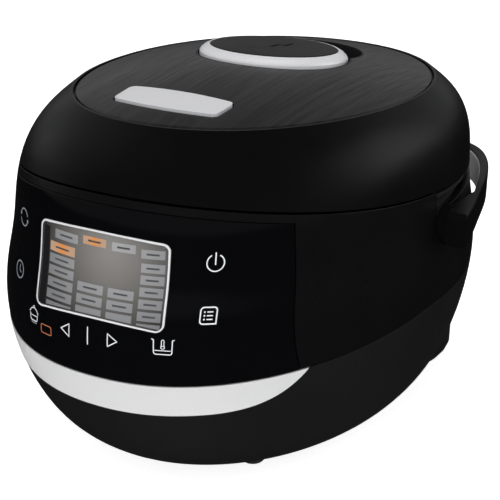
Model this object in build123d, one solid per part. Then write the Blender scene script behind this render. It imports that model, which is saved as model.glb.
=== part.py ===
from build123d import *
import os
from functools import lru_cache
from math import cos, pi, radians, sin

# Countertop multicooker: oval bowl body, rear-hinged lid, rear carry handle.
# +Z is up, the control panel faces -Y, millimetres. The body is drawn about its widest
# section (y = 0) and moved by SHIFT_Y at export, so that the origin is under the middle.

SHIFT_Y = -5.0

# ---- driving dimensions of the body ----
HALF_WIDTH = 140.8
FRONT_REACH = 198.0
REAR_REACH = 181.5
BASE_Z = 8.0
EDGE_Z = 232.0
DOME_RISE = 16.2
DOME_POWER = 1.74
TOP_TILT = -0.058
BASE_DRIFT = 3.5
TOP_DRIFT = 11.5
# (height, share of the widest section)
BOWL_LEVELS = [(8, 0.68), (21, 0.795), (41, 0.89), (68, 0.958), (102, 0.998), (142, 0.984)]
NECK_LEVELS = [(176, 0.964), (196, 0.952), (214, 0.905), (225, 0.842), (232, 0.788)]
WALL = 2.6
LID_GAP = 1.4
GROOVE = 0.5
PANEL_LIP = 1.2

# ---- cooking well ----
POT_Y = 5.0
POT_R = 114.0
POT_FLANGE_R = 121.0
POT_TOP = 160.0
POT_FLOOR = 46.0
POT_WALL = 1.6
WELL_R = 126.0
CHAMBER_R = 117.5
CHAMBER_WALL = 0.8
CHAMBER_FLOOR = 26.0
LEDGE_Z = 158.0
PLUG_R = 123.5
PLUG_Z = 165.0
DECK_DROP = 4.0

# ---- lid hinge ----
HINGE_Y = 187.0
HINGE_Z = 163.0
HINGE_R = 6.0
HINGE_PIN_R = 2.0

# ---- front feet ----
FOOT_Y = -89.0

# ---- rear foot block ----
REAR_BLOCK_HALF = 99.0
REAR_BLOCK_DEPTH = 98.0
REAR_BLOCK_Y = 109.0

# ---- power inlet in the back of the lower housing ----
INLET_Z = 68.0
INLET_FACE = 173.0

# ---- carry handle ----
PIVOT_Y = 14.0
PIVOT_Z = 150.0
PIN_R = 4.0
RUNNING = 0.06
HANDLE_HALF = 11.3
EAR_REACH = 13.0
EAR_ROUND = 4.0
HANDLE_EDGE = 2.2
EAR_IN = 135.6
EAR_OUT = 157.0
EAR_STEP = 142.0
ARM_IN = 137.6
SWEEP_R = 17.2
DROOP = 5.0
GRIP_REACH = 194.5

# ---- front panel ----
PANEL_TOP_DROP = 6.5
DISPLAY_HALF = 45.2
DISPLAY_LOW = 131.0
DISPLAY_HIGH = 182.0
DISPLAY_ARCH = 3.2

# ---- steam valve and release button on the lid ----
VALVE_Y = 28.0
VALVE_R = 50.6
VALVE_Z = 243.7
VALVE_TILT = -6.8
CAP_R = 43.5
BUTTON_HALF = 37.2
BUTTON_GAP = 1.1
BUTTON_FRONT = -112.0
BUTTON_BACK = -90.0
BUTTON_BOW = 6.0
BUTTON_PROUD = 0.8
BUTTON_X = 0.0
BUTTON_Y = -102.0
PANEL_SEAT = 3.0
SPRING_CUP_Z = 226.0


def power(value, exponent):
    """Signed power, for a superellipse."""
    return (1 if value >= 0 else -1) * abs(value) ** exponent


def section_points(z, share, inset, count=28):
    """Points of the body's outline at one level, seen from above, lifted to its tilted plane."""
    t = (z - BASE_Z) / (EDGE_Z - BASE_Z)
    n = 2.0 * (1 - t) * (1 - 2 * t) + 2.22 * 4 * t * (1 - t) + 2.05 * t * (2 * t - 1)
    drift = BASE_DRIFT * (1 - 2 * t) ** 2 if t < 0.5 else TOP_DRIFT * (2 * t - 1) ** 2
    tilt = TOP_TILT * max(0.0, 2 * t - 1) ** 1.5
    points = []
    for k in range(count):
        a = 2 * pi * k / count
        x = (HALF_WIDTH * share - inset) * power(cos(a), 2 / n)
        reach = REAR_REACH if sin(a) >= 0 else FRONT_REACH
        y = (reach * share - inset) * power(sin(a), 2 / n) + drift
        points.append((x, y, z + tilt * y))
    return points


def ring_wire(points):
    return Wire([Spline(*points, periodic=True)])


@lru_cache(maxsize=None)
def body_form(inset, floor=0.0, ceiling=0.0):
    """The whole body up to the lid's edge, every wall moved in by inset."""
    levels = BOWL_LEVELS + NECK_LEVELS
    wires = []
    for z, share in levels:
        lift = 0.0
        if z == levels[0][0]:
            lift = floor
        if z == levels[-1][0]:
            lift = -ceiling
        grown = share
        if lift > 0:
            grown = share + (levels[1][1] - share) * lift / (levels[1][0] - z)
        if lift < 0:
            grown = share + (levels[-2][1] - share) * lift / (levels[-2][0] - z)
        wires.append(ring_wire(section_points(z + lift, grown, inset)))
    return Solid.make_loft(wires)


def dome_form(share, drop, lip=0.0):
    """The crown above the lid's edge, as a plug from its seat to the crown, lowered by drop.
    Its upper edge is bevelled by lip."""
    edge_share = NECK_LEVELS[-1][1] * share
    rim_q = 1.0 - lip / (HALF_WIDTH * edge_share)
    wires = []
    for q in (rim_q, 0.87, 0.72, 0.56, 0.4, 0.24, 0.1):
        wires.append(ring_wire(dome_ring(edge_share, q, DOME_RISE * (1 - q ** DOME_POWER) - drop)))
    crown = Solid.make_loft(wires)
    seat = ring_wire(dome_ring(edge_share, 1.0, -PANEL_SEAT))
    if lip == 0:
        return crown + Solid.make_loft([seat, wires[0]], ruled=True)
    edge = ring_wire(dome_ring(edge_share, 1.0, -drop - lip / 2))
    return crown + Solid.make_loft([seat, edge], ruled=True) + Solid.make_loft([edge, wires[0]], ruled=True)


def dome_ring(edge_share, q, rise):
    points = []
    for x, y, z in section_points(EDGE_Z, edge_share, 0.0):
        yy = TOP_DRIFT + (y - TOP_DRIFT) * q
        points.append((x * q, yy, EDGE_Z + TOP_TILT * yy + rise))
    return points


def seam_z(y):
    """Height of the lid's lower edge."""
    return 176.3 - 0.124 * y + 0.028 * y * y / 100


def split_z(y):
    """Height of the line between the lower and the upper housing."""
    return 100.9 - 0.016 * y - 0.025 * y * y / 100


def above(line, offset):
    """Everything above a line that is drawn in the YZ plane."""
    ends = (-260, 260)
    points = [(0, y, line(y) + offset) for y in (-260, -195, -130, -65, 0, 65, 130, 195, 260)]
    top = [(0, ends[1], 420), (0, ends[0], 420)]
    edges = [Spline(*points), Polyline(points[-1], top[0], top[1], points[0])]
    face = Face(Wire([edges[0]] + list(edges[1].edges())))
    return Pos(-220, 0, 0) * extrude(face, amount=440, dir=(1, 0, 0))


def cylinder_z(r, low, high, x=0.0, y=0.0):
    return Pos(x, y, (low + high) / 2) * Cylinder(r, high - low)


def cylinder_x(r, low, high, y, z):
    return Pos((low + high) / 2, y, z) * Rot(0, 90, 0) * Cylinder(r, high - low)


def block(x0, x1, y0, y1, z0, z1):
    return Pos((x0 + x1) / 2, (y0 + y1) / 2, (z0 + z1) / 2) * Box(x1 - x0, y1 - y0, z1 - z0)


def turned(profile, x=0.0, y=0.0):
    """A solid of revolution about a vertical axis from (radius, height) corners."""
    face = make_face(Polyline(*[(r, 0, z) for r, z in profile], close=True))
    return Pos(x, y, 0) * revolve(face, Axis.Z, 360)


def front_prism(face):
    """A front-view outline (X, Z) pushed through the front half of the body."""
    return extrude(Pos(0, -60, 0) * Rot(90, 0, 0) * face, amount=160, dir=(0, -1, 0))


# ---- shared forms ----
OUTER = body_form(0.0)
INNER = body_form(WALL, floor=5.0, ceiling=5.0)
ABOVE_SPLIT = above(split_z, 0.0)
ABOVE_SEAM = above(seam_z, 0.0)
BELOW_SEAM_LIMIT = above(seam_z, -LID_GAP)


def skin(proud, depth):
    """A layer of the body's wall, from proud outside its surface to depth inside."""
    return body_form(-proud) - body_form(depth)


def panel_outline(grow=0.0):
    """Front view of the control panel: sides lean out slightly towards the bottom."""
    return Polygon((-99.5 - grow, 215), (99.5 + grow, 215), (110.5 + grow, 80), (-110.5 - grow, 80), align=None)


def trim_outline():
    """Front view of the crescent trim under the panel."""
    right = [(61.5, 73.9), (89.7, 78.9), (111.4, 97.6)]
    left = [(-x, z) for x, z in reversed(right)]
    lower = Spline(*(left + [(0, 71.5)] + right))
    close = Polyline((111.4, 97.6), (116, 112), (-116, 112), (-111.4, 97.6))
    return make_face([lower] + list(close.edges()))


def display_outline(grow=0.0):
    """Front view of the display, with its long edges slightly arched."""
    half = DISPLAY_HALF + grow
    low = DISPLAY_LOW - grow
    high = DISPLAY_HIGH + grow
    bottom = ThreePointArc((-half, low), (0, low + DISPLAY_ARCH), (half, low))
    top = ThreePointArc((half, high), (0, high + DISPLAY_ARCH), (-half, high))
    sides = [Line((half, low), (half, high)), Line((-half, high), (-half, low))]
    face = make_face([bottom, sides[0], top, sides[1]])
    return fillet(face.vertices(), 4 + grow)


# ---- carry handle ----
def handle_profile(clearance=0.0):
    """Plan of the handle, x across and r away from the pivot line: ears, arms and grip."""
    c = clearance
    outer = [(EAR_OUT + c, -EAR_REACH - c), (147.8 + c, 24), (138.6 + c, 56), (130.5 + c, 84), (117.5 + c, 122)]
    outer += [(104 + c, 151), (86 + c, 175), (52, GRIP_REACH - 4 + c), (0, GRIP_REACH + c)]
    inner = [(136.8 - c, 46), (133.4 - c, 57), (124.6 - c, 83), (110.8 - c, 120), (97 - c, 146)]
    inner += [(78 - c, 168), (46, GRIP_REACH - 11 - c), (0, GRIP_REACH - 7.5 - c)]
    mirrored_outer = [(-x, r) for x, r in reversed(outer[:-1])]
    mirrored_inner = [(-x, r) for x, r in reversed(inner[:-1])]
    outer_edge = Spline(*(outer + mirrored_outer))
    inner_edge = Spline(*(inner + mirrored_inner))
    start = Polyline(outer[0], (ARM_IN - c, -EAR_REACH - c), (ARM_IN - c, 30), inner[0])
    end = Polyline(mirrored_inner[-1], (-ARM_IN + c, 30), (-ARM_IN + c, -EAR_REACH - c), mirrored_outer[-1])
    return make_face([outer_edge] + list(start.edges()) + [inner_edge] + list(end.edges()))


def place_handle(shape, turn=-DROOP):
    """Move from the flat plan to the pivot line, turned about it."""
    return Pos(0, PIVOT_Y, PIVOT_Z) * Rot(turn, 0, 0) * shape


def handle_flat(clearance=0.0):
    half = HANDLE_HALF + clearance
    return Pos(0, 0, -half) * extrude(handle_profile(clearance), amount=2 * half)


def handle_room():
    """Space that the handle passes through between folded and upright."""
    room = cylinder_x(EAR_REACH + 0.7, EAR_IN - 0.7, EAR_STEP + 1, PIVOT_Y, PIVOT_Z)
    room += cylinder_x(SWEEP_R, EAR_STEP - 0.5, EAR_OUT + 3, PIVOT_Y, PIVOT_Z)
    room += mirror(room, Plane.YZ)
    arms = handle_flat(0.7) & block(-180, 180, 0, 210, -20, 20)
    for turn in (-DROOP, 15, 35, 55, 75, 90):
        room += place_handle(arms, turn)
    return room


def ear_rounding():
    """What is cut away to round the ears: softly outside the body, to a full disc inside it."""
    corner_y = -EAR_REACH + EAR_ROUND
    corner_z = HANDLE_HALF - EAR_ROUND
    upper = block(-180, 180, -EAR_REACH - 1, corner_y, corner_z, HANDLE_HALF + 1)
    upper -= cylinder_x(EAR_ROUND, -180, 180, corner_y, corner_z)
    inner = block(-EAR_STEP, EAR_STEP, -EAR_REACH - 1, 0, 0, HANDLE_HALF + 1)
    inner -= cylinder_x(EAR_REACH, -180, 180, 0, 0)
    upper += inner
    return upper + mirror(upper, Plane.XY)


def carry_handle():
    shape = handle_flat()
    long_edges = [e for e in shape.edges() if e.length > 60 and abs(e.center().Z) > HANDLE_HALF - 0.1]
    shape = fillet(long_edges, HANDLE_EDGE) - ear_rounding()
    disc = cylinder_x(EAR_REACH, EAR_IN, EAR_STEP, 0, 0)
    shape += disc + mirror(disc, Plane.YZ)
    for side in (-1, 1):
        shape -= cylinder_x(PIN_R + RUNNING, min(side * 130, side * 139.6), max(side * 130, side * 139.6), 0, 0)
    shape -= grip_pad_form()
    return place_handle(shape)


def grip_pad_form():
    """Soft pad let into the inner face of the grip."""
    strip = Pos(0, 0, -8) * extrude(handle_profile(), amount=16)
    return strip & block(-44, 44, 150, GRIP_REACH - 4.6, -8, 8)


def handle_pad():
    return place_handle(grip_pad_form())


def handle_pins():
    pin = cylinder_x(PIN_R, 127, 139.3, PIVOT_Y, PIVOT_Z)
    head = cylinder_x(PIN_R + 1.2, 124, 127, PIVOT_Y, PIVOT_Z)
    right = pin + head
    return right, mirror(right, Plane.YZ)


# ---- housings ----
HANDLE_ROOM = handle_room()


def recess_boxes(grow):
    """Dark side recess above the folded handle, on both sides."""
    right = block(100, 160, 1 - grow, 112, 160 - grow, 230)
    return right + mirror(right, Plane.YZ)


def rear_cover_form(inset):
    """Rear foot block: a rounded box with a soft lower edge that runs up into the back of the bowl."""
    # (height, narrowing of its plan, corner radius)
    levels = [(5, 5, 39), (6.6, 2, 42), (11, 0, 44), (35, -0.8, 45), (66, 3, 44)]
    wires = []
    for z, narrow, corner in levels:
        half_width = REAR_BLOCK_HALF - narrow - inset
        half_depth = REAR_BLOCK_DEPTH / 2 - narrow - inset
        lift = inset if z == levels[0][0] else 0
        plan = RectangleRounded(2 * half_width, 2 * half_depth, corner - inset)
        wires.append((Pos(0, REAR_BLOCK_Y, z + lift) * plan).wire())
    return Solid.make_loft(wires, ruled=True)


def lower_housing():
    shape = OUTER - INNER - ABOVE_SPLIT
    shape -= block(-160, 160, -220, 220, 0, 10.5)
    shape -= base_opening()
    for x, y in base_screw_places():
        shape -= cylinder_z(2.0, 5, 20, x, y)
    shape -= front_prism(trim_outline()) & skin(1.0, 2.0)
    shape -= block(-18, 18, 140, 200, INLET_Z - 14, INLET_Z + 14)
    return shape


def base_opening():
    """Way in from below, with a flange left round it for the base plate."""
    edge = [(x, y, 5.0) for x, y, z in section_points(10.5, 0.70, 18.0)]
    return extrude(make_face(ring_wire(edge)), amount=8.5, dir=(0, 0, 1))


def front_trim():
    return (front_prism(trim_outline()) & skin(0.4, 2.0)) - ABOVE_SPLIT


def upper_housing():
    shape = OUTER - INNER
    boss = cylinder_x(24, 129.5, 140, PIVOT_Y, PIVOT_Z)
    boss += mirror(boss, Plane.YZ)
    shape += (skin(0.0, 9.0) & recess_boxes(2.6)) + (boss & OUTER)
    shape = (shape & ABOVE_SPLIT) - BELOW_SEAM_LIMIT
    shape -= skin(1.0, 1.2) - above(split_z, GROOVE)
    shape -= recess_boxes(0.0) & skin(2.0, 6.0)
    shape -= HANDLE_ROOM
    shape -= front_prism(panel_outline()) & skin(1.0, 2.2) & panel_zone()
    shape -= front_prism(display_outline(-1.5))
    for side in (-1, 1):
        shape -= cylinder_x(PIN_R, min(side * 126, side * 141), max(side * 126, side * 141), PIVOT_Y, PIVOT_Z)
    return shape


def panel_zone(gap=0.0):
    return above(split_z, gap) - above(seam_z, -PANEL_TOP_DROP - gap)


def control_panel():
    shape = front_prism(panel_outline(-GROOVE)) & skin(0.0, 2.2) & panel_zone(GROOVE)
    return shape - front_prism(display_outline())


def display_frame():
    ring = front_prism(display_outline(1.1)) - front_prism(display_outline())
    return ring & skin(0.5, -0.02)


def lcd_display():
    return front_prism(display_outline()) & skin(-0.2, 2.2)


# ---- cooking well ----
def rim_ring():
    """Deck under the lid, with the well and the ledge that the pot hangs from."""
    sheet = body_form(2.8) - above(seam_z, -DECK_DROP)
    sheet = sheet & above(seam_z, -DECK_DROP - 2.4)
    sheet -= cylinder_z(WELL_R, 100, 260, 0, POT_Y)
    wall = cylinder_z(WELL_R + 2.4, LEDGE_Z - 2.4, 230, 0, POT_Y) - cylinder_z(WELL_R, LEDGE_Z, 230, 0, POT_Y)
    wall -= cylinder_z(CHAMBER_R, 100, 200, 0, POT_Y)
    wall -= above(seam_z, -DECK_DROP)
    deck = sheet + wall
    deck -= block(-15, 15, -174, -148, 150, 230)
    pocket = block(-17, 17, -176, -146, 186, 205) - block(-15, 15, -174, -148, 188, 230)
    deck += pocket - above(seam_z, -DECK_DROP)
    return deck - upper_housing_solid()


def inner_chamber():
    r = CHAMBER_R
    w = CHAMBER_WALL
    z0 = CHAMBER_FLOOR
    profile = [(19, z0), (96, z0), (r, z0 + 20), (r, LEDGE_Z - 2.4), (r - w, LEDGE_Z - 2.4)]
    profile += [(r - w, z0 + 20 + w), (96 - w, z0 + w), (19, z0 + w)]
    return turned(profile, 0, POT_Y)


def inner_pot():
    r = POT_R
    w = POT_WALL
    base = POT_FLOOR
    outer = Polyline((0, base), (r - 22, base))
    s = sin(pi / 4)
    corner = ThreePointArc((r - 22, base), (r - 22 + 22 * s, base + 22 - 22 * s), (r, base + 22))
    rim = [(r, base + 22), (r, POT_TOP - 2), (POT_FLANGE_R, POT_TOP - 2), (POT_FLANGE_R, POT_TOP)]
    rise = Polyline(*rim, (r - w, POT_TOP), (r - w, base + 22))
    middle = (r - 22 + (22 - w) * s, base + 22 - (22 - w) * s)
    inner = ThreePointArc((r - w, base + 22), middle, (r - 22, base + w))
    close = Polyline((r - 22, base + w), (0, base + w), (0, base))
    edges = list(outer.edges()) + [corner] + list(rise.edges()) + [inner] + list(close.edges())
    face = Rot(90, 0, 0) * make_face(edges)
    return Pos(0, POT_Y, 0) * revolve(face, Axis.Z, 360)


def heating_plate():
    profile = [(17, 34), (90, 34), (90, 40), (84, 45.4), (17, 45.4)]
    return turned(profile, 0, POT_Y) - heating_element()


def heating_element():
    return Pos(0, POT_Y, 37.0) * Torus(62, 3.6)


def plate_posts():
    posts = []
    for k in range(3):
        a = radians(90 + 120 * k)
        posts.append(cylinder_z(5, CHAMBER_FLOOR + CHAMBER_WALL, 34, 78 * cos(a), POT_Y + 78 * sin(a)))
    return Compound(posts)


def bottom_sensor():
    return turned([(0, 40), (12.5, 40), (12.5, 28), (14.5, 28), (14.5, 45.6), (0, 45.6)], 0, POT_Y)


def coil(r, wire, low, high, turns, x, y):
    pitch = (high - low - 2 * wire) / turns
    path = Pos(x, y, low + wire) * Helix(pitch, pitch * turns, r)
    start = path.location_at(0)
    return sweep(Plane(start.position, z_dir=path.tangent_at(0)) * Circle(wire), path=path)


def sensor_spring():
    return coil(9.0, 0.8, 13.6, 39.8, 6, 0, POT_Y)


def sensor_seat():
    """Post on the base plate that carries the sensor's spring."""
    return turned([(0, 10.5), (15.5, 10.5), (15.5, 13.4), (0, 13.4)], 0, POT_Y)


# ---- base, feet and rear cover ----
def base_plate():
    plate = OUTER & block(-160, 160, -220, 220, 0, 10.5)
    for x in range(-48, 49, 12):
        plate -= block(x - 2, x + 2, -40, -8, 0, 20)
        plate -= block(x - 2, x + 2, 28, 60, 0, 20)
    for x, y in base_screw_places():
        plate -= cylinder_z(2.0, 0, 20, x, y) + cylinder_z(4.2, 0, 9.5, x, y)
    return plate


def base_screw_places():
    return [(x, y) for x in (-63, 63) for y in (-63, 65)]


def screw(head_r, shaft_r, head_z, head_h, length):
    """Pan-head screw, pointing up, with its head's underside at head_z."""
    head = cylinder_z(head_r, head_z - head_h, head_z)
    head -= block(-0.5, 0.5, -head_r, head_r, head_z - head_h, head_z - head_h + 0.8)
    return head + cylinder_z(shaft_r, head_z, head_z + length)


def base_screws():
    one = screw(3.8, 2.0, 9.5, 1.4, 3.5)
    return Compound([Pos(x, y, 0) * one for x, y in base_screw_places()])


def foot(height, r, top_r):
    waist = ((r + top_r) / 2 + 0.4, height * 0.55)
    return turned([(0, 0), (r - 0.8, 0), (r, 0.8), waist, (top_r, height), (0, height)])


def front_feet():
    return Compound([Pos(x, FOOT_Y, 0) * foot(BASE_Z, 7.5, 12.5) for x in (-50, 50)])


def rear_feet():
    return Compound([Pos(x, 120, 0) * foot(5, 8.0, 9.0) for x in (-68, 68)])


def rear_cover():
    return rear_cover_form(0.0) - rear_cover_form(2.5) - OUTER


def power_inlet():
    body = block(-18, 18, INLET_FACE - 24, INLET_FACE, INLET_Z - 14, INLET_Z + 14)
    socket = Pos(0, INLET_FACE - 18, INLET_Z) * Rot(90, 0, 0) * inlet_outline()
    body -= extrude(socket, amount=30, dir=(0, 1, 0))
    for x, z in inlet_pin_places():
        body -= block(x - 1.2, x + 1.2, INLET_FACE - 40, INLET_FACE - 16, z - 2.2, z + 2.2)
    return body


def inlet_outline():
    return Polygon((-12, -8), (12, -8), (12, 4), (8, 8), (-8, 8), (-12, 4), align=None)


def inlet_pin_places():
    return [(-7, INLET_Z - 2), (7, INLET_Z - 2), (0, INLET_Z + 2)]


def inlet_pins():
    tail = INLET_FACE - 30
    tip = INLET_FACE - 8
    return Compound([block(x - 1.2, x + 1.2, tail, tip, z - 2.2, z + 2.2) for x, z in inlet_pin_places()])


def power_board():
    board = block(-48, 48, -84, -46, 14, 15.6)
    parts = block(-40, -14, -80, -54, 15.6, 25) + block(-6, 14, -78, -60, 15.6, 24)
    parts += block(22, 40, -76, -56, 15.6, 24.5)
    posts = cylinder_z(3, 10.5, 14, -42, -50) + cylinder_z(3, 10.5, 14, 42, -50)
    return board + parts + posts


def control_board():
    board = block(-66, 66, -164, -162.4, 126, 186)
    for x in (-50, -18, 22, 50):
        board += block(x - 7, x + 7, -162.4, -158, 148, 162)
    return board


def display_module():
    return block(-42, 42, -174, -164, 133, 180)


def buzzer():
    return Pos(40, -155.4, 176) * Rot(90, 0, 0) * Cylinder(7, 6)


# ---- hinge ----
def hinge_bracket():
    ears = Part() + cylinder_x(HINGE_R, 16, 32, HINGE_Y, HINGE_Z) + block(16, 32, 170, HINGE_Y, 146, HINGE_Z)
    ears += mirror(ears, Plane.YZ)
    web = block(-32, 32, 170, HINGE_Y, 146, 155.4)
    bracket = ears + web - OUTER
    return bracket - cylinder_x(HINGE_PIN_R, -40, 40, HINGE_Y, HINGE_Z)


def hinge_pin():
    shaft = cylinder_x(HINGE_PIN_R, -32, 33, HINGE_Y, HINGE_Z)
    return shaft + cylinder_x(3.4, -33.6, -32, HINGE_Y, HINGE_Z)


def hinge_spring():
    """Torsion spring round the pin, inside the lid's hollow knuckle."""
    wound = coil(3.3, 0.6, -11, 11, 9, 0, 0)
    return Pos(0, HINGE_Y, HINGE_Z) * Rot(0, 90, 0) * wound


# ---- lid ----
def button_outline(grow=0.0):
    half = BUTTON_HALF + grow
    back = BUTTON_BACK + grow
    front = BUTTON_FRONT - grow
    bow = ThreePointArc((-half, front), (0, front - BUTTON_BOW), (half, front))
    side = Polyline((half, front), (half + 0.6, back), (-half - 0.6, back), (-half, front))
    face = make_face([bow] + list(side.edges()))
    return fillet(face.vertices(), 4 + grow)


def pocket_outline(grow=0.0):
    """Plan of the hollow round the steam valve, with a finger scoop behind it."""
    return Pos(0, VALVE_Y) * Circle(VALVE_R + 1.2 + grow) + Pos(0, 60) * Circle(46 + grow)


def prism(face, low, high):
    return Pos(0, 0, low) * extrude(face, amount=high - low)


def lid_shell():
    shape = (OUTER & ABOVE_SEAM) - INNER
    shape -= dome_form(0.985, 0.0)
    shape += cylinder_z(9.8, SPRING_CUP_Z, 234, BUTTON_X, BUTTON_Y)
    shape -= cylinder_z(8.4, SPRING_CUP_Z + 2, 260, BUTTON_X, BUTTON_Y)
    shape -= cylinder_z(5.5, 200, 260, BUTTON_X, BUTTON_Y)
    shape -= cylinder_z(12.5, 200, 260, 0, VALVE_Y)
    arm = block(-15.5, 15.5, 168, HINGE_Y, 164.6, 172) - INNER
    shape += arm + cylinder_x(HINGE_R, -15.5, 15.5, HINGE_Y, HINGE_Z)
    shape -= cylinder_x(4.4, -12, 12, HINGE_Y, HINGE_Z)
    return shape - cylinder_x(HINGE_PIN_R + RUNNING, -20, 20, HINGE_Y, HINGE_Z)


def top_panel():
    shape = dome_form(0.972, 0.0, PANEL_LIP) - dome_form(0.972, 2.4)
    shape -= prism(button_outline(BUTTON_GAP), 200, 270)
    return shape - prism(pocket_outline(1.4), 200, 270)


def valve_well():
    ring = prism(pocket_outline(1.4), 200, 270) - prism(pocket_outline(0.0), 200, 270)
    return ring & dome_form(0.972, 0.0)


def lid_liner():
    sheet = body_form(3.0) & above(seam_z, 1.0)
    sheet -= above(seam_z, 3.4)
    plug = cylinder_z(PLUG_R, PLUG_Z, 230, 0, POT_Y) - above(seam_z, 3.4)
    hollow = cylinder_z(PLUG_R - 2.5, PLUG_Z + 2.5, 240, 0, POT_Y)
    sleeve = cylinder_z(12.2, PLUG_Z + 2.5, 205, 0, VALVE_Y)
    shape = sheet + plug - hollow + sleeve
    shape -= cylinder_z(9.8, 150, 210, 0, VALVE_Y)
    shape -= cylinder_z(5.2, 150, 210, 0, -40)
    shape -= block(-13, 13, -172, -150, 150, 240)
    return shape - lid_screws()


def inner_lid():
    plate = turned([(0, 163.4), (112, 163.4), (116.4, 161.6), (116.4, PLUG_Z), (0, PLUG_Z)], 0, POT_Y)
    plate -= cylinder_z(9.8, 150, 170, 0, VALVE_Y)
    return plate - cylinder_z(5.2, 150, 170, 0, -40)


def lid_gasket():
    profile = [(116.5, 161.8), (118.5, 160.5), (122.6, 160.5), (123, 162), (123, PLUG_Z), (116.5, PLUG_Z)]
    return turned(profile, 0, POT_Y)


def lid_sensor():
    return turned([(0, 159.5), (2.6, 159.5), (5, 162.5), (5, 172), (0, 172)], 0, -40)


def lid_screws():
    spots = [(-108, -60), (108, -60), (-108, 70), (108, 70)]
    screws = []
    for x, y in spots:
        z = seam_z(y) + 1.0
        screws.append(Pos(x, y, 0) * (cylinder_z(3.5, z + 2.6, z + 5.0) + cylinder_z(1.6, z + 5.0, z + 11)))
    return Compound(screws)


def release_button():
    plate = prism(button_outline(), 200, 270) & (dome_form(1.0, -BUTTON_PROUD) - dome_form(1.0, 2.2))
    stem = cylinder_z(5.0, 219.6, 244, BUTTON_X, BUTTON_Y)
    return plate + stem


def button_spring():
    return coil(6.9, 0.6, SPRING_CUP_Z + 2.1, 242.2, 5, BUTTON_X, BUTTON_Y)


def latch_slider():
    """Slide plate under the lid's top, with the hook that holds the lid shut."""
    plate = block(-11, 11, -162, -86, 212, 215)
    ramp = block(-6, 6, -100, -92, 215, 216.6)
    hook = block(-11, 11, -164, -158, 193, 215) + block(-11, 11, -165.4, -158, 193, 197)
    return plate + ramp + hook


def latch_guides():
    """Two rails under the lid's top that carry the slide plate."""
    rail = block(11.4, 15, -150, -88, 210, 230) + block(8, 15, -150, -88, 208.6, 211.6)
    rail -= body_roof()
    return rail + mirror(rail, Plane.YZ)


def body_roof():
    """The lid shell's top plate and everything above it."""
    return OUTER - INNER + block(-160, 160, -220, 220, 232, 260)


def latch_catch():
    return block(-13, 13, -173.8, -166, 198, 199.5) + block(-13, 13, -173.8, -172, 188.2, 198)


# ---- steam valve ----
def tilted(shape):
    """Set a part of the valve on the slope of the lid's crown."""
    return Pos(0, VALVE_Y, VALVE_Z) * Rot(VALVE_TILT, 0, 0) * shape


def valve_ring():
    inner = CAP_R + 0.3
    profile = [(VALVE_R, -0.4), (VALVE_R, -7), (47.8, -7), (47.8, -2), (inner, 1.6), (inner, 4.3)]
    profile += [(inner + 0.9, 4.5), (47.6, 3.0), (49.8, 1.0)]
    return tilted(turned(profile))


def valve_cap():
    profile = [(0, 5.6), (20, 5.5), (34, 5.2), (CAP_R - 0.8, 4.8), (CAP_R, 4.2), (CAP_R, -7), (CAP_R - 2, -7)]
    shell = turned(profile + [(CAP_R - 2, 2.6), (0, 3.2)])
    slot = Pos(2, -9, 0) * block(-1.2, 1.2, 0, 12, 0, 8) + Pos(7, 2, 0) * block(-1.2, 1.2, 0, 12, 0, 8)
    slot += block(0.8, 8.2, 1.4, 3.8, 0, 8)
    return tilted(shell - slot)


def valve_chamber():
    cup = tilted(turned([(0, -11), (41.4, -11), (41.4, -3), (39.6, -3), (39.6, -9), (0, -9)]))
    tube = cylinder_z(9.2, 172, 235, 0, VALVE_Y) - cylinder_z(6.5, 170, 240, 0, VALVE_Y)
    bore = cylinder_z(6.5, 170, 240, 0, VALVE_Y)
    return cup + tube - bore


def write(name, shape):
    """Write one node's solids, in the part's frame, as a STEP file."""
    placed = Pos(0, SHIFT_Y, 0) * shape
    export_step(placed, "parts/" + name + ".step")
    print(name, len(placed.solids()), round(placed.volume))


@lru_cache(maxsize=None)
def upper_housing_solid():
    return upper_housing()


def main():
    os.makedirs("parts", exist_ok=True)
    pins = handle_pins()
    nodes = {
        "lower_housing": lower_housing(),
        "front_trim": front_trim(),
        "upper_housing": upper_housing_solid(),
        "control_panel": control_panel(),
        "display_frame": display_frame(),
        "lcd_display": lcd_display(),
        "display_module": display_module(),
        "control_board": control_board(),
        "buzzer": buzzer(),
        "rim_ring": rim_ring(),
        "inner_chamber": inner_chamber(),
        "heating_plate": heating_plate(),
        "heating_element": heating_element(),
        "plate_posts": plate_posts(),
        "bottom_sensor": bottom_sensor(),
        "sensor_spring": sensor_spring(),
        "sensor_seat": sensor_seat(),
        "inner_pot": inner_pot(),
        "base_plate": base_plate(),
        "base_screws": base_screws(),
        "front_feet": front_feet(),
        "rear_feet": rear_feet(),
        "rear_cover": rear_cover(),
        "power_inlet": power_inlet(),
        "inlet_pins": inlet_pins(),
        "power_board": power_board(),
        "hinge_bracket": hinge_bracket(),
        "hinge_pin": hinge_pin(),
        "hinge_spring": hinge_spring(),
        "latch_catch": latch_catch(),
        "carry_handle": carry_handle(),
        "handle_pad": handle_pad(),
        "handle_pin_right": pins[0],
        "handle_pin_left": pins[1],
        "lid_shell": lid_shell(),
        "top_panel": top_panel(),
        "valve_well": valve_well(),
        "lid_liner": lid_liner(),
        "inner_lid": inner_lid(),
        "lid_gasket": lid_gasket(),
        "lid_sensor": lid_sensor(),
        "lid_screws": lid_screws(),
        "latch_guides": latch_guides(),
        "release_button": release_button(),
        "button_spring": button_spring(),
        "latch_slider": latch_slider(),
        "valve_ring": valve_ring(),
        "valve_cap": valve_cap(),
        "valve_chamber": valve_chamber(),
    }
    for name, shape in nodes.items():
        write(name, shape)


main()
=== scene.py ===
import bpy
import bmesh
from math import cos, hypot, radians, sin
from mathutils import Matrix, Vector
from mathutils.bvhtree import BVHTree


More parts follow.
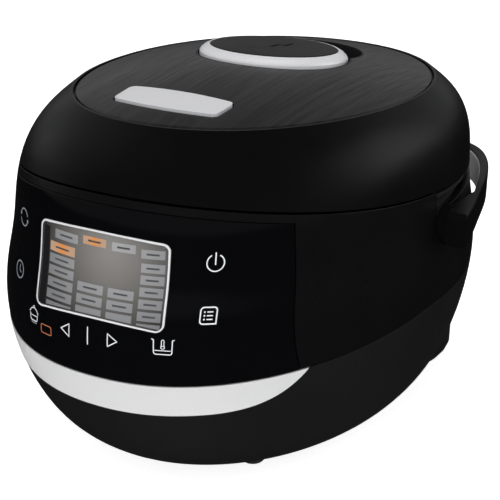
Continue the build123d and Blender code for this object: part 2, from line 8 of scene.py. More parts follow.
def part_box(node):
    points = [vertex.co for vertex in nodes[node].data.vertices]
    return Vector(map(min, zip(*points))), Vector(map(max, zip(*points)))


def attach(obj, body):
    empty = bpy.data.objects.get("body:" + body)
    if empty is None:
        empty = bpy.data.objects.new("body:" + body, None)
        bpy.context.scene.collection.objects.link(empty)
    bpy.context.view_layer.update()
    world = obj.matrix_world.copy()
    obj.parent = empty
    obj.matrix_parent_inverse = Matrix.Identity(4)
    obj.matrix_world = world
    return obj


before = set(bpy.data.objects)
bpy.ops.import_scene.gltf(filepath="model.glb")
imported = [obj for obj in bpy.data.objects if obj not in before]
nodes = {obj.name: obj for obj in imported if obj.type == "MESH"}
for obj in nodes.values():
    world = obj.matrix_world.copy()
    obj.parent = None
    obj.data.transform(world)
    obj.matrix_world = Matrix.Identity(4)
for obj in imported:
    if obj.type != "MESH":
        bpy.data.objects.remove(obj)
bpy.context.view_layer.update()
MM = 0.001


# ---------------------------------------------------------------- materials

def new_material(name):
    """A new node material, its node tree and its shader."""
    mat = bpy.data.materials.new(name)
    mat.use_nodes = True
    tree = mat.node_tree
    shader = tree.nodes["Principled BSDF"]
    return mat, tree, shader


def noise(tree, scale, detail=2.0, stretch=(1, 1, 1), rough=0.5):
    """A noise texture in the object's own metres, stretched along its axes."""
    place = tree.nodes.new("ShaderNodeTexCoord")
    mapping = tree.nodes.new("ShaderNodeMapping")
    mapping.inputs["Scale"].default_value = stretch
    tree.links.new(place.outputs["Object"], mapping.inputs["Vector"])
    texture = tree.nodes.new("ShaderNodeTexNoise")
    texture.inputs["Scale"].default_value = scale
    texture.inputs["Detail"].default_value = detail
    texture.inputs["Roughness"].default_value = rough
    tree.links.new(mapping.outputs["Vector"], texture.inputs["Vector"])
    return texture.outputs["Fac"]


def remap(tree, value, low, high, start=0.35, end=0.65):
    """A value, spread so that start gives low and end gives high; noise lies about 0.35 to 0.65."""
    node = tree.nodes.new("ShaderNodeMapRange")
    node.inputs["From Min"].default_value = start
    node.inputs["From Max"].default_value = end
    node.inputs["To Min"].default_value = low
    node.inputs["To Max"].default_value = high
    tree.links.new(value, node.inputs["Value"])
    return node.outputs["Result"]


def tint(tree, value, first, second):
    """A colour between first and second by the value."""
    node = tree.nodes.new("ShaderNodeMix")
    node.data_type = "RGBA"
    node.inputs["A"].default_value = (*first, 1)
    node.inputs["B"].default_value = (*second, 1)
    tree.links.new(value, node.inputs["Factor"])
    return node.outputs["Result"]


def vector_math(tree, operation, *values):
    """A vector operation on sockets or fixed vectors."""
    node = tree.nodes.new("ShaderNodeVectorMath")
    node.operation = operation
    for socket, value in zip(node.inputs, values):
        if isinstance(value, bpy.types.NodeSocket):
            tree.links.new(value, socket)
        else:
            socket.default_value = value
    return node


def product(tree, first, second):
    """Two values multiplied."""
    node = tree.nodes.new("ShaderNodeMath")
    node.operation = "MULTIPLY"
    tree.links.new(first, node.inputs[0])
    tree.links.new(second, node.inputs[1])
    return node.outputs["Value"]


def relief(tree, shader, value, strength, depth, edge=0.0):
    """Bump from a value, over edges softened to a small radius."""
    bump = tree.nodes.new("ShaderNodeBump")
    bump.inputs["Strength"].default_value = strength
    bump.inputs["Distance"].default_value = depth
    tree.links.new(value, bump.inputs["Height"])
    if edge > 0:
        soft = tree.nodes.new("ShaderNodeBevel")
        soft.samples = 4
        soft.inputs["Radius"].default_value = edge
        tree.links.new(soft.outputs["Normal"], bump.inputs["Normal"])
    tree.links.new(bump.outputs["Normal"], shader.inputs["Normal"])


def moulded(name, colour, rough, grain=1400, depth=0.05, specular=0.25):
    """Injection-moulded plastic: fine spark-eroded grain, and handling marks in its roughness."""
    mat, tree, shader = new_material(name)
    wide = noise(tree, 14, 3)
    light = tuple(c * 1.15 for c in colour)
    tree.links.new(tint(tree, remap(tree, wide, 0, 1), colour, light), shader.inputs["Base Color"])
    tree.links.new(remap(tree, wide, rough - 0.05, rough + 0.05), shader.inputs["Roughness"])
    shader.inputs["Specular IOR Level"].default_value = specular
    relief(tree, shader, noise(tree, grain, 2), depth, 0.0002, edge=0.0005)
    return mat


def glossy(name, colour, rough, specular=0.3):
    """High-gloss plastic: faint unevenness of the moulded face, and wiped marks."""
    mat, tree, shader = new_material(name)
    smear = noise(tree, 30, 5, (1, 1, 0.35))
    light = tuple(c * 1.3 for c in colour)
    tree.links.new(tint(tree, smear, colour, light), shader.inputs["Base Color"])
    tree.links.new(remap(tree, smear, rough, rough + 0.05), shader.inputs["Roughness"])
    shader.inputs["Specular IOR Level"].default_value = specular
    relief(tree, shader, noise(tree, 55, 1), 0.03, 0.0004, edge=0.0005)
    return mat


def lined(name, colour, rough, lining, middle, start):
    """Handle plastic with a pale lining on the faces that look at the middle, behind start along Y."""
    mat = moulded(name, colour, rough, depth=0.1, specular=0.05)
    tree = mat.node_tree
    shader = tree.nodes["Principled BSDF"]
    place = tree.nodes.new("ShaderNodeTexCoord")
    inward = vector_math(tree, "SUBTRACT", middle, place.outputs["Object"])
    level = vector_math(tree, "MULTIPLY", inward.outputs["Vector"], (1, 1, 0))
    unit = vector_math(tree, "NORMALIZE", level.outputs["Vector"])
    facing = vector_math(tree, "DOT_PRODUCT", unit.outputs["Vector"], place.outputs["Normal"])
    inner = remap(tree, facing.outputs["Value"], 0, 1, 0.70, 0.74)
    along = tree.nodes.new("ShaderNodeSeparateXYZ")
    tree.links.new(place.outputs["Object"], along.inputs["Vector"])
    behind = remap(tree, along.outputs["Y"], 0, 1, start, start + 0.0004)
    mixed = tree.nodes.new("ShaderNodeMix")
    mixed.data_type = "RGBA"
    tree.links.new(shader.inputs["Base Color"].links[0].from_socket, mixed.inputs["A"])
    mixed.inputs["B"].default_value = (*lining, 1)
    tree.links.new(product(tree, inner, behind), mixed.inputs["Factor"])
    tree.links.new(mixed.outputs["Result"], shader.inputs["Base Color"])
    return mat


def satin_silver(name, colour, rough, metallic):
    """Silver lacquer on plastic: fine flakes under a satin skin."""
    mat, tree, shader = new_material(name)
    flakes = noise(tree, 3500, 1)
    dark = tuple(c * 0.9 for c in colour)
    tree.links.new(tint(tree, remap(tree, flakes, 0, 1), dark, colour), shader.inputs["Base Color"])
    tree.links.new(remap(tree, noise(tree, 24, 3), rough - 0.04, rough + 0.05), shader.inputs["Roughness"])
    shader.inputs["Metallic"].default_value = metallic
    relief(tree, shader, flakes, 0.05, 0.0001, edge=0.0005)
    return mat


def brushed(name, colour, rough, stretch, streak):
    """Brushed lacquer: long fine scratches along one axis, over streaks of dark and light."""
    mat, tree, shader = new_material(name)
    fine = noise(tree, 1.0, 4, stretch, 0.6)
    wide = noise(tree, 1.0, 3, tuple(s * 0.22 for s in stretch), 0.6)
    dark = tuple(c * (1 - streak) for c in colour)
    tree.links.new(tint(tree, remap(tree, wide, 0, 1), dark, colour), shader.inputs["Base Color"])
    tree.links.new(remap(tree, fine, rough - 0.07, rough + 0.09), shader.inputs["Roughness"])
    relief(tree, shader, fine, 0.25, 0.0001, edge=0.0004)
    return mat


def metal(name, colour, rough, grain=300):
    """Plain pressed or turned metal, with faint clouding."""
    mat, tree, shader = new_material(name)
    cloud = noise(tree, 40, 4)
    dull = tuple(c * 0.85 for c in colour)
    tree.links.new(tint(tree, remap(tree, cloud, 0, 1), dull, colour), shader.inputs["Base Color"])
    tree.links.new(remap(tree, cloud, rough - 0.06, rough + 0.08), shader.inputs["Roughness"])
    shader.inputs["Metallic"].default_value = 1.0
    relief(tree, shader, noise(tree, grain, 3), 0.1, 0.0001, edge=0.0003)
    return mat


def speckled(name, colour, speck, rough):
    """Dark non-stick coating with scattered pale specks."""
    mat, tree, shader = new_material(name)
    dots = remap(tree, noise(tree, 900, 0), 0, 1, 0.68, 0.72)
    tree.links.new(tint(tree, dots, colour, speck), shader.inputs["Base Color"])
    tree.links.new(remap(tree, noise(tree, 60, 3), rough - 0.05, rough + 0.08), shader.inputs["Roughness"])
    shader.inputs["Metallic"].default_value = 0.4
    relief(tree, shader, noise(tree, 500, 3), 0.12, 0.0001, edge=0.0006)
    return mat


def soft_rubber(name, colour, rough=0.7, clear=0.0):
    """Rubber or silicone with a dusty, fine-pored skin."""
    mat, tree, shader = new_material(name)
    dust = noise(tree, 90, 5)
    pale = tuple(c * 1.3 + 0.01 for c in colour)
    tree.links.new(tint(tree, remap(tree, dust, 0, 1), colour, pale), shader.inputs["Base Color"])
    tree.links.new(remap(tree, dust, rough - 0.08, rough + 0.08), shader.inputs["Roughness"])
    shader.inputs["Subsurface Weight"].default_value = clear
    shader.inputs["Subsurface Scale"].default_value = 0.002
    relief(tree, shader, noise(tree, 2200, 2), 0.15, 0.0001, edge=0.0004)
    return mat


def circuit_board(name):
    """Green solder mask with paler tracks."""
    mat, tree, shader = new_material(name)
    tracks = remap(tree, noise(tree, 120, 0, (1, 1, 4)), 0, 1, 0.49, 0.51)
    colour = tint(tree, tracks, (0.012, 0.07, 0.03), (0.02, 0.14, 0.06))
    tree.links.new(colour, shader.inputs["Base Color"])
    shader.inputs["Roughness"].default_value = 0.4
    relief(tree, shader, tracks, 0.1, 0.0001)
    return mat


def display_glass(name, glow_at, glow_reach, dim, lit, strength):
    """Liquid crystal picture behind gloss, from lit at one place to dim away from it."""
    mat, tree, shader = new_material(name)
    place = tree.nodes.new("ShaderNodeTexCoord")
    away = vector_math(tree, "DISTANCE", place.outputs["Object"], glow_at)
    near = remap(tree, away.outputs["Value"], 1.0, 0.0, 0.0, glow_reach)
    colour = tint(tree, near, dim, lit)
    tree.links.new(colour, shader.inputs["Base Color"])
    tree.links.new(colour, shader.inputs["Emission Color"])
    shader.inputs["Emission Strength"].default_value = strength
    tree.links.new(remap(tree, noise(tree, 4000, 0), 0.1, 0.14), shader.inputs["Roughness"])
    return mat


def lit_chip(name, rim, heart, strength):
    """A lit field of the display: stronger colour in its middle, from the mesh's own mask."""
    mat, tree, shader = new_material(name)
    mask = tree.nodes.new("ShaderNodeAttribute")
    mask.attribute_name = "heart"
    colour = tint(tree, mask.outputs["Fac"], rim, heart)
    tree.links.new(colour, shader.inputs["Base Color"])
    tree.links.new(colour, shader.inputs["Emission Color"])
    shader.inputs["Emission Strength"].default_value = strength
    tree.links.new(remap(tree, noise(tree, 4000, 0), 0.12, 0.16), shader.inputs["Roughness"])
    return mat


def ink(name, colour, strength=0.0, rough=0.35):
    """Screen-printed ink, slightly uneven."""
    mat, tree, shader = new_material(name)
    uneven = noise(tree, 900, 3)
    worn = tuple(c * 0.88 for c in colour)
    mixed = tint(tree, remap(tree, uneven, 0, 1), worn, colour)
    tree.links.new(mixed, shader.inputs["Base Color"])
    tree.links.new(mixed, shader.inputs["Emission Color"])
    shader.inputs["Emission Strength"].default_value = strength
    tree.links.new(remap(tree, uneven, rough - 0.05, rough + 0.05), shader.inputs["Roughness"])
    return mat


def dress(names, mat):
    """Give CAD nodes one finish."""
    for name in names:
        mesh = nodes[name].data
        mesh.materials.clear()
        mesh.materials.append(mat)
        for face in mesh.polygons:
            face.material_index = 0


LINING_START = 0.055     # Y where the pale face of the handle begins, m

lower_matte = moulded("lower_matte", (0.0075, 0.0075, 0.0077), 0.45, depth=0.08)
upper_gloss = glossy("upper_gloss", (0.0030, 0.0030, 0.0034), 0.27)
panel_gloss = glossy("panel_gloss", (0.0020, 0.0020, 0.0024), 0.04, specular=0.4)
lid_satin = moulded("lid_satin", (0.0025, 0.0025, 0.0027), 0.38, grain=2600, depth=0.03,
                    specular=0.12)
top_brushed = brushed("top_brushed", (0.020, 0.0196, 0.0194), 0.36, (1100, 26, 26), streak=0.6)
trim_silver = satin_silver("trim_silver", (0.75, 0.75, 0.755), 0.34, metallic=0.15)
button_silver = satin_silver("button_silver", (0.86, 0.86, 0.88), 0.32, metallic=0.1)
cap_satin = moulded("cap_satin", (0.014, 0.0137, 0.0133), 0.4, grain=2600, depth=0.05,
                    specular=0.08)
handle_satin = lined("handle_satin", (0.0032, 0.0032, 0.0034), 0.36, lining=(0.55, 0.55, 0.56),
                     middle=(0, LINING_START, 0), start=LINING_START)
pad_grey = moulded("pad_grey", (0.36, 0.36, 0.37), 0.45, depth=0.12)
inner_plastic = moulded("inner_plastic", (0.016, 0.016, 0.017), 0.5, depth=0.12)
pot_coating = speckled("pot_coating", (0.018, 0.018, 0.019), (0.22, 0.22, 0.23), 0.34)
steel = metal("steel", (0.56, 0.56, 0.57), 0.3)
aluminium = metal("aluminium", (0.72, 0.72, 0.73), 0.36, grain=500)
rubber = soft_rubber("rubber", (0.012, 0.012, 0.012))
silicone = soft_rubber("silicone", (0.52, 0.52, 0.5), 0.42, clear=0.3)
board = circuit_board("board")

dress(["lower_housing", "base_plate", "rear_cover", "hinge_bracket"], lower_matte)
dress(["upper_housing"], upper_gloss)
dress(["control_panel"], panel_gloss)
dress(["lid_shell"], lid_satin)
dress(["top_panel"], top_brushed)
dress(["front_trim"], trim_silver)
dress(["display_frame", "release_button", "valve_ring"], button_silver)
dress(["valve_cap"], cap_satin)
dress(["carry_handle"], handle_satin)
dress(["handle_pad"], pad_grey)
dress(["inner_pot"], pot_coating)
dress(["heating_plate", "bottom_sensor", "inner_lid", "inlet_pins"], aluminium)
dress(["inner_chamber", "heating_element", "plate_posts", "sensor_spring", "base_screws", "hinge_pin",
       "hinge_spring", "latch_catch", "handle_pin_right", "handle_pin_left", "lid_sensor", "lid_screws",
       "button_spring"], steel)
dress(["display_module", "buzzer", "rim_ring", "sensor_seat", "power_inlet", "valve_well", "lid_liner",
       "latch_guides", "latch_slider", "valve_chamber"], inner_plastic)
dress(["control_board", "power_board"], board)
dress(["front_feet", "rear_feet"], rubber)
dress(["lid_gasket"], silicone)


# ---------------------------------------------------------------- prints on the front
# Places and sizes of the prints are millimetres on the front, x to the right and z up.

SUNK = 0.15              # how deep a print reaches into the face below it
FIELD_STEP = 1.5         # about the width of one piece of a rectangle, so that it follows the face
HEART_FALL = 1.5         # a lit field's strong colour ends at 1 / 1.5 of its half width
MITRE_FLOOR = 0.35       # keeps the corners of sharp turns from reaching far out


def surface_of(*names):
    """A ray target made of the triangles of some CAD nodes."""
    points, faces = [], []
    for name in names:
        mesh = nodes[name].data
        start = len(points)
        points += [v.co.copy() for v in mesh.vertices]
        faces += [[start + i for i in face.vertices] for face in mesh.polygons]
    return BVHTree.FromPolygons(points, faces)


def on_front(target, x, z, lift):
    """The point of the front surface at x, z, lifted off it along -Y."""
    start = Vector((x * MM, -0.5, z * MM))
    spot = target.ray_cast(start, Vector((0, 1, 0)))[0]
    if spot is None:
        raise RuntimeError(f"no surface at {x}, {z}")
    return Vector((spot.x, spot.y - lift * MM, spot.z))


def spaced(points, closed=False, step=1.0):
    """The polyline with points about a step apart, so that it follows the curved face."""
    ends = points[1:] + points[:1] if closed else points[1:]
    result = []
    for (x0, z0), (x1, z1) in zip(points, ends):
        parts = max(1, round(hypot(x1 - x0, z1 - z0) / step))
        result += [(x0 + (x1 - x0) * k / parts, z0 + (z1 - z0) * k / parts) for k in range(parts)]
    return result if closed else result + [points[-1]]


def ribbon(points, width, closed=False):
    """Left and right edges of a stroke along a polyline, as pairs of points."""
    points = spaced(points, closed)
    count = len(points)
    rows = []
    for i, (x, z) in enumerate(points):
        ahead = points[(i + 1) % count] if closed or i + 1 < count else None
        behind = points[i - 1] if closed or i > 0 else None
        normals = []
        for a, b in ((behind, (x, z)), ((x, z), ahead)):
            if a is None or b is None:
                continue
            long = hypot(b[0] - a[0], b[1] - a[1])
            normals.append((-(b[1] - a[1]) / long, (b[0] - a[0]) / long))
        nx = sum(n[0] for n in normals) / len(normals)
        nz = sum(n[1] for n in normals) / len(normals)
        grow = width / 2 / max(MITRE_FLOOR, nx * nx + nz * nz)
        rows.append(((x + nx * grow, z + nz * grow), (x - nx * grow, z - nz * grow)))
    if closed:
        rows.append(rows[0])
    return rows


def arc(cx, cz, radius, start, end, steps=28):
    """Points on an arc, angles in degrees from +X towards +Z."""
    angles = [radians(start + (end - start) * k / steps) for k in range(steps + 1)]
    return [(cx + radius * cos(a), cz + radius * sin(a)) for a in angles]


def ring_points(cx, cz, radius, steps=36):
    """Points round a circle, for a closed stroke."""
    return arc(cx, cz, radius, 0, 360 - 360 / steps, steps - 1)


def field(x0, x1, z0, z1):
    """A rectangle as pairs of points, from one end to the other."""
    columns = max(1, round((x1 - x0) / FIELD_STEP))
    places = [x0 + (x1 - x0) * k / columns for k in range(columns + 1)]
    return [((x, z1), (x, z0)) for x in places]


def printed(name, target, strips, mat, lift, heart=False):
    """Thin closed solids laid on the front surface, one for each strip of paired points.

    With heart, the mesh attribute of that name fades from the middle of a strip to its ends."""
    mesh = bpy.data.meshes.new(name)
    bm = bmesh.new()
    layer = bm.verts.layers.float.new("heart")
    for strip in strips:
        loop = len(strip) > 2 and strip[0] == strip[-1]
        rows = []
        for pair in (strip[:-1] if loop else strip):
            row = [bm.verts.new(on_front(target, x, z, lift)) for x, z in pair]
            row += [bm.verts.new(on_front(target, x, z, -SUNK)) for x, z in reversed(pair)]
            rows.append(row)
        if heart:
            middle = sum(p[0] for pair in strip for p in pair) / 2 / len(strip)
            reach = max(abs(p[0] - middle) for pair in strip for p in pair)
            for row in rows:
                away = abs(row[0].co.x / MM - middle) / reach
                for v in row:
                    v[layer] = max(0.0, 1 - away * HEART_FALL)
        spans = list(zip(rows, rows[1:] + rows[:1])) if loop else list(zip(rows, rows[1:]))
        for a, b in spans:
            for k in range(4):
                bm.faces.new((a[k], a[(k + 1) % 4], b[(k + 1) % 4], b[k]))
        if not loop:
            bm.faces.new(rows[0])
            bm.faces.new(list(reversed(rows[-1])))
    bmesh.ops.recalc_face_normals(bm, faces=bm.faces)
    bm.to_mesh(mesh)
    bm.free()
    piece = bpy.data.objects.new(name, mesh)
    bpy.context.scene.collection.objects.link(piece)
    mesh.materials.append(mat)
    return piece


panel = surface_of("control_panel")
PRINT_LIFT = 0.04        # thickness of the ink over the panel
ICON = 0.62              # stroke width
ROW_Z = 121.6            # height of the lower row of icons
BACK_X, DIVIDER_X, NEXT_X = -19.6, -2.7, 14.2      # middles of the icons in that row
POT_X, BATH_X = -48.6, 45.9
POWER_AT, LIST_AT = (69.3, 172.4), (68.6, 141.4)
ARROWS_AT, CLOCK_AT = (-69.0, 175.4), (-69.0, 143.0)
MODE_MARK_AT = (-36.6, 116.2)
SIDE_SHARE = 0.82        # width left to the icons at the right end of the panel

ink_white = ink("ink_white", (0.74, 0.76, 0.78), 0.12)
ink_dim = ink("ink_dim", (0.30, 0.32, 0.36), 0.05)
ink_orange = ink("ink_orange", (0.62, 0.2, 0.09), 0.1)


def narrowed(strips, cx, share):
    """Strips made narrower about cx, for the end of the panel where the face turns away."""
    return [[tuple((cx + (x - cx) * share, z) for x, z in pair) for pair in strip]
            for strip in strips]


def rounded(cx, cz, half_wide, half_tall, corner, steps, corners=4):
    """A rectangle's outline; corners past the given number stay sharp."""
    outline = []
    for k, (sx, sz) in enumerate(((1, 1), (-1, 1), (-1, -1), (1, -1))):
        if k < corners:
            outline += arc(cx + sx * (half_wide - corner), cz + sz * (half_tall - corner), corner,
                           90 * k, 90 * (k + 1), steps)
        else:
            outline.append((cx + sx * half_wide, cz + sz * half_tall))
    return outline


def power_icon(cx, cz, r):
    """A ring open at the top, with a bar in the opening."""
    return [ribbon(arc(cx, cz, r, 118, 422), ICON + 0.1),
            ribbon([(cx, cz - 1.2), (cx, cz + r + 1.2)], ICON + 0.15)]


def list_icon(cx, cz, half):
    """Three dotted lines in a frame with one sharp corner."""
    strips = [ribbon(rounded(cx, cz, half, half, 2.0, 6, corners=3), ICON + 0.2, closed=True)]
    for k in (-1, 0, 1):
        z = cz + k * 2.2
        strips.append(field(cx - 0.9, cx + 2.7, z - 0.35, z + 0.35))
        strips.append(ribbon(ring_points(cx - 2.4, z, 0.28, 10), 0.5, closed=True))
    return strips


def triangle_icon(cx, cz, way):
    """An open triangle that points left for way 1 and right for way -1."""
    tip, back, half = cx - way * 3.6, cx + way * 2.8, 4.1
    return [ribbon([(tip, cz), (back, cz + half), (back, cz - half)], ICON, closed=True)]


def divider(cx, cz):
    """The upright stroke between the triangles."""
    return [ribbon([(cx, cz - 5.8), (cx, cz + 5.6)], ICON + 0.1)]


def thermometer_bath_icon(cx, cz):
    """A bowl with liquid and a small thermometer."""
    wall = [(cx - 6.6, cz + 4.6), (cx - 5.4, cz + 4.2), (cx - 5.2, cz - 3.2)]
    wall += arc(cx - 3.8, cz - 3.4, 1.4, 180, 270, 6)
    wall += arc(cx + 3.8, cz - 3.4, 1.4, 270, 360, 6)
    wall += [(cx + 5.4, cz + 4.2), (cx + 6.6, cz + 4.6)]
    stem = [(cx - 0.75, cz + 0.4)] + arc(cx, cz + 3.6, 0.75, 180, 0, 8) + [(cx + 0.75, cz + 0.4)]
    bulb = arc(cx, cz - 0.3, 1.05, 45, -225, 14)
    return [ribbon(wall, ICON), field(cx - 4.6, cx + 4.6, cz - 2.6, cz - 2.1),
            ribbon(stem + list(reversed(bulb)), 0.45)]


def pot_icon(cx, cz):
    """A pot with a knobbed lid, over three short marks."""
    body = [(cx - 3.6, cz + 0.6), (cx - 3.4, cz - 2.6)] + arc(cx - 2.2, cz - 2.7, 1.2, 180, 270, 5)
    body += arc(cx + 2.2, cz - 2.7, 1.2, 270, 360, 5) + [(cx + 3.4, cz - 2.6), (cx + 3.6, cz + 0.6)]
    lid = [(cx - 4.6, cz + 1.2)] + arc(cx, cz + 0.4, 3.9, 160, 20, 12) + [(cx + 4.6, cz + 1.2)]
    knob = ring_points(cx, cz + 5.0, 0.7, 12)
    band = field(cx - 3.4, cx + 3.4, cz - 0.9, cz - 0.5)
    feet = [field(cx + k - 0.35, cx + k + 0.35, cz - 5.6, cz - 5.0) for k in (-2, 0, 2)]
    return [ribbon(body, 0.55), ribbon(lid, 0.55), ribbon(knob, 0.4, closed=True), band] + feet


def round_arrows_icon(cx, cz, r):
    """Two arrows that chase each other round a ring."""
    strips = []
    sweep = 145
    for start in (20, 200):
        strips.append(ribbon(arc(cx, cz, r, start, start + sweep, 16), 0.7))
        end = radians(start + sweep)
        ex, ez = cx + r * cos(end), cz + r * sin(end)
        ahead = (-sin(end), cos(end))
        out = (cos(end), sin(end))
        tip = (ex + ahead[0] * 1.7, ez + ahead[1] * 1.7)
        strips.append([((ex + out[0] * 1.3, ez + out[1] * 1.3), (ex - out[0] * 1.3, ez - out[1] * 1.3)),
                       ((tip[0] + out[0] * 0.05, tip[1] + out[1] * 0.05), (tip[0], tip[1]))])
    return strips


def clock_icon(cx, cz, r):
    """A ring with two hands."""
    return [ribbon(ring_points(cx, cz, r), 0.7, closed=True),
            ribbon([(cx, cz + 2.9), (cx, cz - 0.2), (cx + 2.1, cz - 1.2)], 0.6)]


def mode_mark(cx, cz):
    """A small empty field with round corners."""
    return [ribbon(rounded(cx, cz, 4.6, 2.8, 1.0, 5), 0.45, closed=True)]


bright = narrowed(power_icon(*POWER_AT, 5.1), POWER_AT[0], SIDE_SHARE)
bright += narrowed(list_icon(*LIST_AT, 4.9), LIST_AT[0], SIDE_SHARE)
bright += triangle_icon(BACK_X, ROW_Z, 1) + triangle_icon(NEXT_X, ROW_Z, -1)
bright += divider(DIVIDER_X, ROW_Z)
bright += thermometer_bath_icon(BATH_X, ROW_Z + 0.4) + pot_icon(POT_X, ROW_Z + 0.6)
faint = round_arrows_icon(*ARROWS_AT, 5.2) + clock_icon(*CLOCK_AT, 5.0)

for name, strips, mat in (("panel_icons", bright, ink_white), ("panel_side_icons", faint, ink_dim),
                          ("panel_mode_mark", mode_mark(*MODE_MARK_AT), ink_orange)):
    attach(printed(name, panel, strips, mat, PRINT_LIFT), "base")


# ---------------------------------------------------------------- display

glass = surface_of("lcd_display", "display_frame", "control_panel")
front_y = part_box("lcd_display")[0].y
GLOW = (0.010, front_y, 0.176)      # the brightest place of the picture, m
GLASS_REACH, CHIP_REACH = 0.056, 0.064      # how far its glow goes on the glass and the fields, m

# Columns of fields, each with its left and right end.
LEFT, MID_LEFT, MID_RIGHT, RIGHT = (-37.2, -16.4), (-12.8, 5.8), (9.2, 26.2), (29.5, 43.6)
CHIP = 5.5               # height of a field
PITCH = 7.15             # from the top of a field to the top of the next
LEAST_CHIP = 1.0         # a field that the lower edge leaves lower than this is left out
# Columns with their top and number of fields, then single fields as left, right, bottom and top.
COLUMNS = ((LEFT, 164.45, 5), (RIGHT, 170.6, 6), (MID_LEFT, 153.0, 3), (MID_RIGHT, 153.0, 3))
TOP_ROW = ((-33.2, -14.4, 174.6, 180.2), (10.2, 25.6, 175.6, 180.9), (29.2, 43.2, 173.6, 179.0))
LIT_FIELDS = ((*LEFT, 166.0, 171.9), (-10.4, 6.2, 176.3, 181.4))

EDGE_HALF = 45.2         # half the width of the display's arched lower edge
EDGE_Z = 131.9           # height of that edge at its ends
ARCH = 3.2               # how much higher it is in the middle

WORD_SHARE = 0.27        # half the length of a word's bar, as a share of its field
WORD_HALF = 0.55         # half the thickness of the bar
WORDED = 0.8             # a field lower than this share of CHIP has no bar

BORDER = (-43.9, -38.2)  # left and right end of the dark strip beside the fields
BORDER_PARTS = range(132, 180, 4)   # lower ends of its parts, one above the other
BORDER_TALL = 4.1        # height of a part
BORDER_LIFT, CHIP_LIFT, WORD_LIFT = 0.06, 0.1, 0.16     # thickness over the glass


def column(span, top, count):
    """Fields one under the other, the last ones cut by the arched lower edge of the display."""
    chips = []
    for k in range(count):
        high = top - PITCH * k
        rows = field(*span, high - CHIP, high)
        edge = [EDGE_Z + ARCH * (1 - (x / EDGE_HALF) ** 2) for (x, _), _ in rows]
        kept = [((x, high), (x, max(low, limit))) for ((x, _), (_, low)), limit in zip(rows, edge)]
        if high - max(edge) > LEAST_CHIP:
            chips.append(kept)
    return chips


def word_bars(strips):
    """The bars that stand for words, one in the middle of each field that is tall enough."""
    bars = []
    for strip in strips:
        (x0, top), (_, bottom) = strip[0]
        x1 = strip[-1][0][0]
        if top - bottom >= CHIP * WORDED:
            middle, half, level = (x0 + x1) / 2, (x1 - x0) * WORD_SHARE, (top + bottom) / 2
            bars.append(field(middle - half, middle + half, level - WORD_HALF, level + WORD_HALF))
    return bars


display_mat = display_glass("display_mat", GLOW, GLASS_REACH, (0.020, 0.019, 0.018),
                            (0.190, 0.182, 0.172), 0.45)
dress(["lcd_display"], display_mat)

grey_chips = [field(*ends) for ends in TOP_ROW]
for span, top, count in COLUMNS:
    grey_chips += column(span, top, count)
orange_chips = [field(*ends) for ends in LIT_FIELDS]
words = word_bars(grey_chips + orange_chips)
border = [field(*BORDER, z, z + BORDER_TALL) for z in BORDER_PARTS]

chip_grey = display_glass("chip_grey", GLOW, CHIP_REACH, (0.125, 0.127, 0.134),
                          (0.30, 0.302, 0.305), 0.3)
chip_orange = lit_chip("chip_orange", (0.42, 0.27, 0.18), (0.60, 0.22, 0.05), 0.15)
chip_mark = ink("chip_mark", (0.075, 0.075, 0.08))
dark_edge = ink("dark_edge", (0.012, 0.012, 0.013), rough=0.2)

for name, strips, mat, lift, heart in (
        ("display_fields", grey_chips, chip_grey, CHIP_LIFT, False),
        ("display_lit_fields", orange_chips, chip_orange, CHIP_LIFT, True),
        ("display_dark_border", border, dark_edge, BORDER_LIFT, False),
        ("display_bars", words, chip_mark, WORD_LIFT, False)):
    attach(printed(name, glass, strips, mat, lift, heart), "base")


# ---------------------------------------------------------------- studio
# Places and sizes are metres, the lens and the sensor millimetres.

LAMPS_AIM = (0, 0, 0.14)
FLOOR_HALF = 30          # half the width of the floor
FLOOR_GLOW = 0.85        # brings the floor up to plain white
CAMERA_AT = (0.5441, -0.9676, 0.5490)
CAMERA_AIM = (-0.00275, -0.005, 0.1084)
LENS, SENSOR = 123.05, 36


def area_light(name, place, size, power, mirrored=True):
    """A square lamp turned to the object, seen or not seen in glossy faces."""
    data = bpy.data.lights.new(name, "AREA")
    data.shape = "SQUARE"
    data.size = size
    data.energy = power
    lamp = bpy.data.objects.new(name, data)
    lamp.location = place
    lamp.rotation_euler = (Vector(LAMPS_AIM) - Vector(place)).to_track_quat("-Z", "Y").to_euler()
    lamp.visible_glossy = mirrored
    bpy.context.scene.collection.objects.link(lamp)


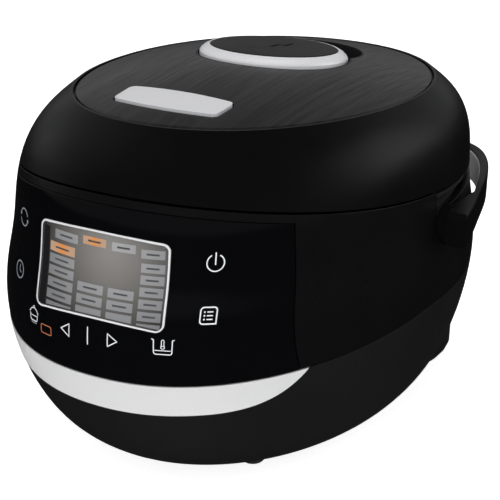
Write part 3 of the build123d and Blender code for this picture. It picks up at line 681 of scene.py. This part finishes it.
area_light("key_left", (-3.0, -0.2, 2.4), 3.4, 13)
area_light("back_right", (2.6, 2.4, 1.6), 2.2, 22)
area_light("front_fill", (1.2, -3.2, 1.6), 3.0, 60, mirrored=False)
area_light("top_fill", (0.0, -0.4, 3.4), 2.4, 64, mirrored=False)

floor_corners = [(x * FLOOR_HALF, y * FLOOR_HALF, 0) for x, y in ((-1, -1), (1, -1), (1, 1), (-1, 1))]
floor_mesh = bpy.data.meshes.new("floor")
floor_mesh.from_pydata(floor_corners, [], [(0, 1, 2, 3)])
floor = bpy.data.objects.new("floor", floor_mesh)
bpy.context.scene.collection.objects.link(floor)
floor_mat, _, floor_shader = new_material("floor_white")
floor_shader.inputs["Base Color"].default_value = (0.82, 0.82, 0.82, 1)
floor_shader.inputs["Roughness"].default_value = 0.9
floor_shader.inputs["Emission Color"].default_value = (1, 1, 1, 1)
floor_shader.inputs["Emission Strength"].default_value = FLOOR_GLOW
floor_mesh.materials.append(floor_mat)
floor.visible_glossy = False

# The room: a band of light above the horizon, strong behind the object and weak in front of it,
# dim overhead and dark below.
world = bpy.data.worlds.new("studio")
world.use_nodes = True
sky = world.node_tree
way = sky.nodes.new("ShaderNodeTexCoord")
split = sky.nodes.new("ShaderNodeSeparateXYZ")
sky.links.new(way.outputs["Generated"], split.inputs["Vector"])
above_floor = remap(sky, split.outputs["Z"], 0.02, 1.0, -0.02, 0.05)
below_ceiling = remap(sky, split.outputs["Z"], 0.36, 0.06, 0.3, 0.62)
to_the_rear = remap(sky, split.outputs["Y"], 0.22, 1.0, -0.35, 0.35)
strength = product(sky, product(sky, above_floor, below_ceiling), to_the_rear)
sky.links.new(strength, sky.nodes["Background"].inputs["Strength"])
sky.nodes["Background"].inputs["Color"].default_value = (0.97, 0.98, 1.0, 1)
bpy.context.scene.world = world
bpy.context.scene.view_settings.view_transform = "Standard"

camera_data = bpy.data.cameras.new("camera")
camera_data.lens = LENS
camera_data.sensor_width = SENSOR
camera = bpy.data.objects.new("camera", camera_data)
camera.location = CAMERA_AT
look = Vector(CAMERA_AIM) - camera.location
camera.rotation_euler = look.to_track_quat("-Z", "Y").to_euler()
bpy.context.scene.collection.objects.link(camera)
bpy.context.scene.camera = camera

bpy.context.view_layer.update()
